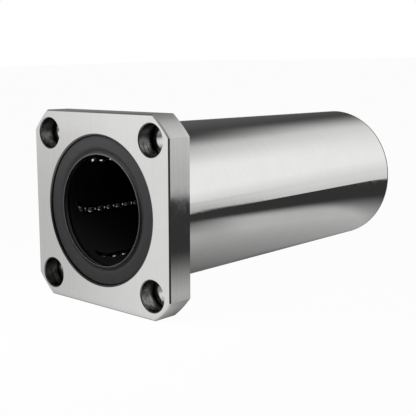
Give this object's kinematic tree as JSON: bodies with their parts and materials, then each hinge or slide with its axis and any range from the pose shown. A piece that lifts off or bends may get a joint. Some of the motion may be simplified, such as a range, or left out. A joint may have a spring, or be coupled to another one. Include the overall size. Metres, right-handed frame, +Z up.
{
  "type": "square flange linear bearing",
  "caption": "Long linear ball bearing whose sleeve carries a square flange with cut corners, counterbored bolt holes and a seal at each end.",
  "frame": {"origin": "on the bore axis, in the plane of the flange's mounting face, from which the sleeve stands out", "axes": "+Y along the bore axis from the flange towards the sleeve's far end, +Z up and +X to the right as seen from the flange's front, with the flange's sides along X and Z"},
  "size_m": [0.088, 0.192, 0.088],
  "materials": {
    "ground_steel": "ground",
    "ring_steel": "turned",
    "ball_steel": "polished",
    "cage_resin": "moulded",
    "seal_rubber": "moulded"
  },
  "bodies": {
    "shell": {"flanged_sleeve": "ground_steel", "front_seal": "seal_rubber", "rear_seal": "seal_rubber", "front_end_ring": "ring_steel", "rear_end_ring": "ring_steel", "spacer_ring": "ring_steel", "front_cage": "cage_resin", "rear_cage": "cage_resin"},
    "front_circuit_1_load_row": {"front_circuit_1_load_row": "ball_steel"},
    "front_circuit_1_return_row": {"front_circuit_1_return_row": "ball_steel"},
    "front_circuit_1_front_turn": {"front_circuit_1_front_turn": "ball_steel"},
    "front_circuit_1_rear_turn": {"front_circuit_1_rear_turn": "ball_steel"},
    "front_circuit_2_load_row": {"front_circuit_2_load_row": "ball_steel"},
    "front_circuit_2_return_row": {"front_circuit_2_return_row": "ball_steel"},
    "front_circuit_2_front_turn": {"front_circuit_2_front_turn": "ball_steel"},
    "front_circuit_2_rear_turn": {"front_circuit_2_rear_turn": "ball_steel"},
    "front_circuit_3_load_row": {"front_circuit_3_load_row": "ball_steel"},
    "front_circuit_3_return_row": {"front_circuit_3_return_row": "ball_steel"},
    "front_circuit_3_front_turn": {"front_circuit_3_front_turn": "ball_steel"},
    "front_circuit_3_rear_turn": {"front_circuit_3_rear_turn": "ball_steel"},
    "front_circuit_4_load_row": {"front_circuit_4_load_row": "ball_steel"},
    "front_circuit_4_return_row": {"front_circuit_4_return_row": "ball_steel"},
    "front_circuit_4_front_turn": {"front_circuit_4_front_turn": "ball_steel"},
    "front_circuit_4_rear_turn": {"front_circuit_4_rear_turn": "ball_steel"},
    "front_circuit_5_load_row": {"front_circuit_5_load_row": "ball_steel"},
    "front_circuit_5_return_row": {"front_circuit_5_return_row": "ball_steel"},
    "front_circuit_5_front_turn": {"front_circuit_5_front_turn": "ball_steel"},
    "front_circuit_5_rear_turn": {"front_circuit_5_rear_turn": "ball_steel"},
    "front_circuit_6_load_row": {"front_circuit_6_load_row": "ball_steel"},
    "front_circuit_6_return_row": {"front_circuit_6_return_row": "ball_steel"},
    "front_circuit_6_front_turn": {"front_circuit_6_front_turn": "ball_steel"},
    "front_circuit_6_rear_turn": {"front_circuit_6_rear_turn": "ball_steel"},
    "rear_circuit_1_load_row": {"rear_circuit_1_load_row": "ball_steel"},
    "rear_circuit_1_return_row": {"rear_circuit_1_return_row": "ball_steel"},
    "rear_circuit_1_front_turn": {"rear_circuit_1_front_turn": "ball_steel"},
    "rear_circuit_1_rear_turn": {"rear_circuit_1_rear_turn": "ball_steel"},
    "rear_circuit_2_load_row": {"rear_circuit_2_load_row": "ball_steel"},
    "rear_circuit_2_return_row": {"rear_circuit_2_return_row": "ball_steel"},
    "rear_circuit_2_front_turn": {"rear_circuit_2_front_turn": "ball_steel"},
    "rear_circuit_2_rear_turn": {"rear_circuit_2_rear_turn": "ball_steel"},
    "rear_circuit_3_load_row": {"rear_circuit_3_load_row": "ball_steel"},
    "rear_circuit_3_return_row": {"rear_circuit_3_return_row": "ball_steel"},
    "rear_circuit_3_front_turn": {"rear_circuit_3_front_turn": "ball_steel"},
    "rear_circuit_3_rear_turn": {"rear_circuit_3_rear_turn": "ball_steel"},
    "rear_circuit_4_load_row": {"rear_circuit_4_load_row": "ball_steel"},
    "rear_circuit_4_return_row": {"rear_circuit_4_return_row": "ball_steel"},
    "rear_circuit_4_front_turn": {"rear_circuit_4_front_turn": "ball_steel"},
    "rear_circuit_4_rear_turn": {"rear_circuit_4_rear_turn": "ball_steel"},
    "rear_circuit_5_load_row": {"rear_circuit_5_load_row": "ball_steel"},
    "rear_circuit_5_return_row": {"rear_circuit_5_return_row": "ball_steel"},
    "rear_circuit_5_front_turn": {"rear_circuit_5_front_turn": "ball_steel"},
    "rear_circuit_5_rear_turn": {"rear_circuit_5_rear_turn": "ball_steel"},
    "rear_circuit_6_load_row": {"rear_circuit_6_load_row": "ball_steel"},
    "rear_circuit_6_return_row": {"rear_circuit_6_return_row": "ball_steel"},
    "rear_circuit_6_front_turn": {"rear_circuit_6_front_turn": "ball_steel"},
    "rear_circuit_6_rear_turn": {"rear_circuit_6_rear_turn": "ball_steel"}
  },
  "joints": [
    {"name": "front_circuit_1_roll", "type": "slide", "parent": "shell", "child": "front_circuit_1_load_row", "axis": [0, 1, 0], "range_m": [-0.003, 0.003]},
    {"name": "front_circuit_1_return", "type": "slide", "parent": "shell", "child": "front_circuit_1_return_row", "axis": [0, 1, 0], "range_m": [-0.003, 0.003]},
    {"name": "front_circuit_1_front_turning", "type": "hinge", "parent": "shell", "child": "front_circuit_1_front_turn", "pos_m": [0.02862, 0.0025, -0.00152], "axis": [-0.9863, 0, -0.165], "range_deg": [-30, 30]},
    {"name": "front_circuit_1_rear_turning", "type": "hinge", "parent": "shell", "child": "front_circuit_1_rear_turn", "pos_m": [0.02862, 0.0685, -0.00152], "axis": [-0.9863, 0, -0.165], "range_deg": [-30, 30]},
    {"name": "front_circuit_2_roll", "type": "slide", "parent": "shell", "child": "front_circuit_2_load_row", "axis": [0, 1, 0], "range_m": [-0.003, 0.003]},
    {"name": "front_circuit_2_return", "type": "slide", "parent": "shell", "child": "front_circuit_2_return_row", "axis": [0, 1, 0], "range_m": [-0.003, 0.003]},
    {"name": "front_circuit_2_front_turning", "type": "hinge", "parent": "shell", "child": "front_circuit_2_front_turn", "pos_m": [0.01563, 0.0025, 0.02403], "axis": [-0.3502, 0, -0.9367], "range_deg": [-30, 30]},
    {"name": "front_circuit_2_rear_turning", "type": "hinge", "parent": "shell", "child": "front_circuit_2_rear_turn", "pos_m": [0.01563, 0.0685, 0.02403], "axis": [-0.3502, 0, -0.9367], "range_deg": [-30, 30]},
    {"name": "front_circuit_3_roll", "type": "slide", "parent": "shell", "child": "front_circuit_3_load_row", "axis": [0, 1, 0], "range_m": [-0.003, 0.003]},
    {"name": "front_circuit_3_return", "type": "slide", "parent": "shell", "child": "front_circuit_3_return_row", "axis": [0, 1, 0], "range_m": [-0.003, 0.003]},
    {"name": "front_circuit_3_front_turning", "type": "hinge", "parent": "shell", "child": "front_circuit_3_front_turn", "pos_m": [-0.01299, 0.0025, 0.02555], "axis": [0.6361, 0, -0.7716], "range_deg": [-30, 30]},
    {"name": "front_circuit_3_rear_turning", "type": "hinge", "parent": "shell", "child": "front_circuit_3_rear_turn", "pos_m": [-0.01299, 0.0685, 0.02555], "axis": [0.6361, 0, -0.7716], "range_deg": [-30, 30]},
    {"name": "front_circuit_4_roll", "type": "slide", "parent": "shell", "child": "front_circuit_4_load_row", "axis": [0, 1, 0], "range_m": [-0.003, 0.003]},
    {"name": "front_circuit_4_return", "type": "slide", "parent": "shell", "child": "front_circuit_4_return_row", "axis": [0, 1, 0], "range_m": [-0.003, 0.003]},
    {"name": "front_circuit_4_front_turning", "type": "hinge", "parent": "shell", "child": "front_circuit_4_front_turn", "pos_m": [-0.02862, 0.0025, 0.00152], "axis": [0.9863, 0, 0.165], "range_deg": [-30, 30]},
    {"name": "front_circuit_4_rear_turning", "type": "hinge", "parent": "shell", "child": "front_circuit_4_rear_turn", "pos_m": [-0.02862, 0.0685, 0.00152], "axis": [0.9863, 0, 0.165], "range_deg": [-30, 30]},
    {"name": "front_circuit_5_roll", "type": "slide", "parent": "shell", "child": "front_circuit_5_load_row", "axis": [0, 1, 0], "range_m": [-0.003, 0.003]},
    {"name": "front_circuit_5_return", "type": "slide", "parent": "shell", "child": "front_circuit_5_return_row", "axis": [0, 1, 0], "range_m": [-0.003, 0.003]},
    {"name": "front_circuit_5_front_turning", "type": "hinge", "parent": "shell", "child": "front_circuit_5_front_turn", "pos_m": [-0.01563, 0.0025, -0.02403], "axis": [0.3502, 0, 0.9367], "range_deg": [-30, 30]},
    {"name": "front_circuit_5_rear_turning", "type": "hinge", "parent": "shell", "child": "front_circuit_5_rear_turn", "pos_m": [-0.01563, 0.0685, -0.02403], "axis": [0.3502, 0, 0.9367], "range_deg": [-30, 30]},
    {"name": "front_circuit_6_roll", "type": "slide", "parent": "shell", "child": "front_circuit_6_load_row", "axis": [0, 1, 0], "range_m": [-0.003, 0.003]},
    {"name": "front_circuit_6_return", "type": "slide", "parent": "shell", "child": "front_circuit_6_return_row", "axis": [0, 1, 0], "range_m": [-0.003, 0.003]},
    {"name": "front_circuit_6_front_turning", "type": "hinge", "parent": "shell", "child": "front_circuit_6_front_turn", "pos_m": [0.01299, 0.0025, -0.02555], "axis": [-0.6361, 0, 0.7716], "range_deg": [-30, 30]},
    {"name": "front_circuit_6_rear_turning", "type": "hinge", "parent": "shell", "child": "front_circuit_6_rear_turn", "pos_m": [0.01299, 0.0685, -0.02555], "axis": [-0.6361, 0, 0.7716], "range_deg": [-30, 30]},
    {"name": "rear_circuit_1_roll", "type": "slide", "parent": "shell", "child": "rear_circuit_1_load_row", "axis": [0, 1, 0], "range_m": [-0.003, 0.003]},
    {"name": "rear_circuit_1_return", "type": "slide", "parent": "shell", "child": "rear_circuit_1_return_row", "axis": [0, 1, 0], "range_m": [-0.003, 0.003]},
    {"name": "rear_circuit_1_front_turning", "type": "hinge", "parent": "shell", "child": "rear_circuit_1_front_turn", "pos_m": [0.02862, 0.0975, -0.00152], "axis": [-0.9863, 0, -0.165], "range_deg": [-30, 30]},
    {"name": "rear_circuit_1_rear_turning", "type": "hinge", "parent": "shell", "child": "rear_circuit_1_rear_turn", "pos_m": [0.02862, 0.1635, -0.00152], "axis": [-0.9863, 0, -0.165], "range_deg": [-30, 30]},
    {"name": "rear_circuit_2_roll", "type": "slide", "parent": "shell", "child": "rear_circuit_2_load_row", "axis": [0, 1, 0], "range_m": [-0.003, 0.003]},
    {"name": "rear_circuit_2_return", "type": "slide", "parent": "shell", "child": "rear_circuit_2_return_row", "axis": [0, 1, 0], "range_m": [-0.003, 0.003]},
    {"name": "rear_circuit_2_front_turning", "type": "hinge", "parent": "shell", "child": "rear_circuit_2_front_turn", "pos_m": [0.01563, 0.0975, 0.02403], "axis": [-0.3502, 0, -0.9367], "range_deg": [-30, 30]},
    {"name": "rear_circuit_2_rear_turning", "type": "hinge", "parent": "shell", "child": "rear_circuit_2_rear_turn", "pos_m": [0.01563, 0.1635, 0.02403], "axis": [-0.3502, 0, -0.9367], "range_deg": [-30, 30]},
    {"name": "rear_circuit_3_roll", "type": "slide", "parent": "shell", "child": "rear_circuit_3_load_row", "axis": [0, 1, 0], "range_m": [-0.003, 0.003]},
    {"name": "rear_circuit_3_return", "type": "slide", "parent": "shell", "child": "rear_circuit_3_return_row", "axis": [0, 1, 0], "range_m": [-0.003, 0.003]},
    {"name": "rear_circuit_3_front_turning", "type": "hinge", "parent": "shell", "child": "rear_circuit_3_front_turn", "pos_m": [-0.01299, 0.0975, 0.02555], "axis": [0.6361, 0, -0.7716], "range_deg": [-30, 30]},
    {"name": "rear_circuit_3_rear_turning", "type": "hinge", "parent": "shell", "child": "rear_circuit_3_rear_turn", "pos_m": [-0.01299, 0.1635, 0.02555], "axis": [0.6361, 0, -0.7716], "range_deg": [-30, 30]},
    {"name": "rear_circuit_4_roll", "type": "slide", "parent": "shell", "child": "rear_circuit_4_load_row", "axis": [0, 1, 0], "range_m": [-0.003, 0.003]},
    {"name": "rear_circuit_4_return", "type": "slide", "parent": "shell", "child": "rear_circuit_4_return_row", "axis": [0, 1, 0], "range_m": [-0.003, 0.003]},
    {"name": "rear_circuit_4_front_turning", "type": "hinge", "parent": "shell", "child": "rear_circuit_4_front_turn", "pos_m": [-0.02862, 0.0975, 0.00152], "axis": [0.9863, 0, 0.165], "range_deg": [-30, 30]},
    {"name": "rear_circuit_4_rear_turning", "type": "hinge", "parent": "shell", "child": "rear_circuit_4_rear_turn", "pos_m": [-0.02862, 0.1635, 0.00152], "axis": [0.9863, 0, 0.165], "range_deg": [-30, 30]},
    {"name": "rear_circuit_5_roll", "type": "slide", "parent": "shell", "child": "rear_circuit_5_load_row", "axis": [0, 1, 0], "range_m": [-0.003, 0.003]},
    {"name": "rear_circuit_5_return", "type": "slide", "parent": "shell", "child": "rear_circuit_5_return_row", "axis": [0, 1, 0], "range_m": [-0.003, 0.003]},
    {"name": "rear_circuit_5_front_turning", "type": "hinge", "parent": "shell", "child": "rear_circuit_5_front_turn", "pos_m": [-0.01563, 0.0975, -0.02403], "axis": [0.3502, 0, 0.9367], "range_deg": [-30, 30]},
    {"name": "rear_circuit_5_rear_turning", "type": "hinge", "parent": "shell", "child": "rear_circuit_5_rear_turn", "pos_m": [-0.01563, 0.1635, -0.02403], "axis": [0.3502, 0, 0.9367], "range_deg": [-30, 30]},
    {"name": "rear_circuit_6_roll", "type": "slide", "parent": "shell", "child": "rear_circuit_6_load_row", "axis": [0, 1, 0], "range_m": [-0.003, 0.003]},
    {"name": "rear_circuit_6_return", "type": "slide", "parent": "shell", "child": "rear_circuit_6_return_row", "axis": [0, 1, 0], "range_m": [-0.003, 0.003]},
    {"name": "rear_circuit_6_front_turning", "type": "hinge", "parent": "shell", "child": "rear_circuit_6_front_turn", "pos_m": [0.01299, 0.0975, -0.02555], "axis": [-0.6361, 0, 0.7716], "range_deg": [-30, 30]},
    {"name": "rear_circuit_6_rear_turning", "type": "hinge", "parent": "shell", "child": "rear_circuit_6_rear_turn", "pos_m": [0.01299, 0.1635, -0.02555], "axis": [-0.6361, 0, 0.7716], "range_deg": [-30, 30]}
  ],
  "couplings": [
    {"joint": "front_circuit_1_return", "follows": "front_circuit_1_roll", "ratio": -1},
    {"joint": "front_circuit_1_front_turning", "follows": "front_circuit_1_roll", "rad_per_m": 174.53},
    {"joint": "front_circuit_1_rear_turning", "follows": "front_circuit_1_roll", "rad_per_m": 174.53},
    {"joint": "front_circuit_2_return", "follows": "front_circuit_2_roll", "ratio": -1},
    {"joint": "front_circuit_2_front_turning", "follows": "front_circuit_2_roll", "rad_per_m": 174.53},
    {"joint": "front_circuit_2_rear_turning", "follows": "front_circuit_2_roll", "rad_per_m": 174.53},
    {"joint": "front_circuit_3_return", "follows": "front_circuit_3_roll", "ratio": -1},
    {"joint": "front_circuit_3_front_turning", "follows": "front_circuit_3_roll", "rad_per_m": 174.53},
    {"joint": "front_circuit_3_rear_turning", "follows": "front_circuit_3_roll", "rad_per_m": 174.53},
    {"joint": "front_circuit_4_return", "follows": "front_circuit_4_roll", "ratio": -1},
    {"joint": "front_circuit_4_front_turning", "follows": "front_circuit_4_roll", "rad_per_m": 174.53},
    {"joint": "front_circuit_4_rear_turning", "follows": "front_circuit_4_roll", "rad_per_m": 174.53},
    {"joint": "front_circuit_5_return", "follows": "front_circuit_5_roll", "ratio": -1},
    {"joint": "front_circuit_5_front_turning", "follows": "front_circuit_5_roll", "rad_per_m": 174.53},
    {"joint": "front_circuit_5_rear_turning", "follows": "front_circuit_5_roll", "rad_per_m": 174.53},
    {"joint": "front_circuit_6_return", "follows": "front_circuit_6_roll", "ratio": -1},
    {"joint": "front_circuit_6_front_turning", "follows": "front_circuit_6_roll", "rad_per_m": 174.53},
    {"joint": "front_circuit_6_rear_turning", "follows": "front_circuit_6_roll", "rad_per_m": 174.53},
    {"joint": "rear_circuit_1_return", "follows": "rear_circuit_1_roll", "ratio": -1},
    {"joint": "rear_circuit_1_front_turning", "follows": "rear_circuit_1_roll", "rad_per_m": 174.53},
    {"joint": "rear_circuit_1_rear_turning", "follows": "rear_circuit_1_roll", "rad_per_m": 174.53},
    {"joint": "rear_circuit_2_return", "follows": "rear_circuit_2_roll", "ratio": -1},
    {"joint": "rear_circuit_2_front_turning", "follows": "rear_circuit_2_roll", "rad_per_m": 174.53},
    {"joint": "rear_circuit_2_rear_turning", "follows": "rear_circuit_2_roll", "rad_per_m": 174.53},
    {"joint": "rear_circuit_3_return", "follows": "rear_circuit_3_roll", "ratio": -1},
    {"joint": "rear_circuit_3_front_turning", "follows": "rear_circuit_3_roll", "rad_per_m": 174.53},
    {"joint": "rear_circuit_3_rear_turning", "follows": "rear_circuit_3_roll", "rad_per_m": 174.53},
    {"joint": "rear_circuit_4_return", "follows": "rear_circuit_4_roll", "ratio": -1},
    {"joint": "rear_circuit_4_front_turning", "follows": "rear_circuit_4_roll", "rad_per_m": 174.53},
    {"joint": "rear_circuit_4_rear_turning", "follows": "rear_circuit_4_roll", "rad_per_m": 174.53},
    {"joint": "rear_circuit_5_return", "follows": "rear_circuit_5_roll", "ratio": -1},
    {"joint": "rear_circuit_5_front_turning", "follows": "rear_circuit_5_roll", "rad_per_m": 174.53},
    {"joint": "rear_circuit_5_rear_turning", "follows": "rear_circuit_5_roll", "rad_per_m": 174.53},
    {"joint": "rear_circuit_6_return", "follows": "rear_circuit_6_roll", "ratio": -1},
    {"joint": "rear_circuit_6_front_turning", "follows": "rear_circuit_6_roll", "rad_per_m": 174.53},
    {"joint": "rear_circuit_6_rear_turning", "follows": "rear_circuit_6_roll", "rad_per_m": 174.53}
  ]
}
